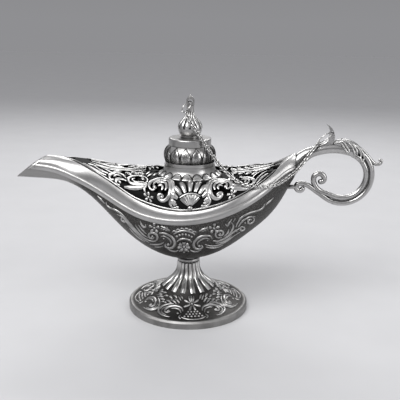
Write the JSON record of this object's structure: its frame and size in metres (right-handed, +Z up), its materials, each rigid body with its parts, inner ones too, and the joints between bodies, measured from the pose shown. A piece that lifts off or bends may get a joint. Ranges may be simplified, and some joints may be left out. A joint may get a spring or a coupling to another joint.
{
  "type": "oil lamp",
  "caption": "Boat-shaped oil lamp of antiqued silvery metal on a fluted foot, with a pouring spout, curled finger handle, pierced cover and a lid that lifts off on a fine chain.",
  "frame": {"origin": "middle of the foot's underside", "axes": "+X towards the handle (the spout points along -X), +Z up, +Y to the lamp's far side"},
  "size_m": [0.1999, 0.0674, 0.1205],
  "materials": {
    "antiqued_casting": "antiqued silver plating over cast zinc alloy, dark in the hollows",
    "wire": "plated wire",
    "steel": "zinc plated steel"
  },
  "bodies": {
    "lamp": {"foot_pedestal": "antiqued_casting", "stem_collar": "antiqued_casting", "bowl_shell": "antiqued_casting", "rim_band": "antiqued_casting", "pierced_cover": "antiqued_casting", "lid_seat_ring": "antiqued_casting", "handle_loop": "antiqued_casting", "handle_scroll": "antiqued_casting", "handle_leaf": "antiqued_casting", "thumb_leaf": "antiqued_casting", "hook_ring": "wire", "chain": "wire", "foot_bolt": "steel", "bolt_washer": "steel", "bolt_nut": "steel", "handle_screw": "steel"},
    "lid": {"lid_flange": "antiqued_casting", "lid_drum": "antiqued_casting", "lid_cap": "antiqued_casting", "finial": "antiqued_casting", "finial_stud": "steel", "lid_washer": "steel", "lid_nut": "steel", "finial_ring": "wire"}
  },
  "joints": [
    {"name": "lid_lift", "type": "slide", "parent": "lamp", "child": "lid", "axis": [0, 0, 1], "range_m": [0, 0.05], "deforming": ["chain"]}
  ]
}
